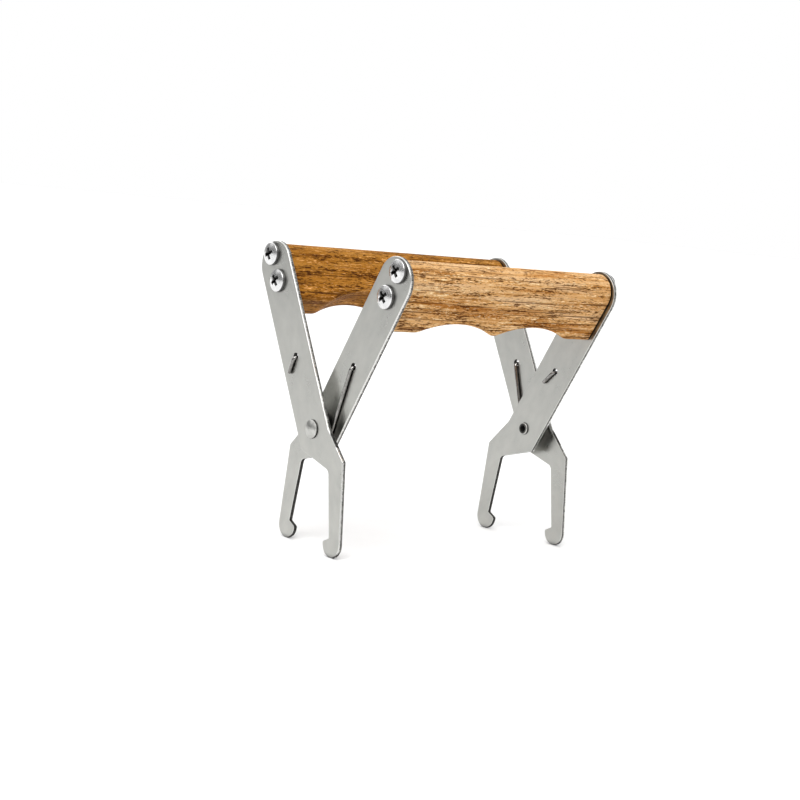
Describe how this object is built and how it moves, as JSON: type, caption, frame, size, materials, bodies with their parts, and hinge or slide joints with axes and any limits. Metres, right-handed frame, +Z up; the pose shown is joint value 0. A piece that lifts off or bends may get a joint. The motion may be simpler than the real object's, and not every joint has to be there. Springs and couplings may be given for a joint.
{
  "type": "frame grip",
  "caption": "Scissor-action beehive frame grip: paired sheet-steel jaws with hooked tips at both ends of wooden handles, sprung open at the pivots.",
  "frame": {"origin": "on the surface that the four hook tips stand on, midway between them", "axes": "+X along the handles and the pivot line, +Y to the back (longer) handle, +Z up from the hooks to the handles"},
  "size_m": [0.1422, 0.1022, 0.1348],
  "materials": {
    "arm_steel": "satin stainless sheet with a fine roll grain and brighter sheared edges",
    "handle_wood": "clear-oiled golden hardwood with dark pores along the grain",
    "screw_steel": "bright zinc plate",
    "rivet_steel": "satin, set by a press",
    "sleeve_steel": "turned",
    "spring_wire": "drawn spring wire, dark"
  },
  "bodies": {
    "outer_yoke": {"outer_arm_left": "arm_steel", "outer_arm_right": "arm_steel", "back_handle": "handle_wood", "pivot_rivet_left": "rivet_steel", "pivot_rivet_right": "rivet_steel", "pivot_sleeve_left": "sleeve_steel", "pivot_sleeve_right": "sleeve_steel", "torsion_spring_left": "spring_wire", "torsion_spring_right": "spring_wire", "screw_back_left_upper": "screw_steel", "screw_back_left_lower": "screw_steel", "screw_back_right_upper": "screw_steel", "screw_back_right_lower": "screw_steel"},
    "inner_yoke": {"inner_arm_left": "arm_steel", "inner_arm_right": "arm_steel", "front_handle": "handle_wood", "screw_front_left_upper": "screw_steel", "screw_front_left_lower": "screw_steel", "screw_front_right_upper": "screw_steel", "screw_front_right_lower": "screw_steel"}
  },
  "joints": [
    {"name": "squeeze", "type": "hinge", "parent": "outer_yoke", "child": "inner_yoke", "pos_m": [0, 0, 0.05383], "axis": [-1, 0, 0], "range_deg": [0, 40], "stiffness_Nm_per_rad": 1.5, "deforming": ["torsion_spring_left", "torsion_spring_right"]}
  ]
}
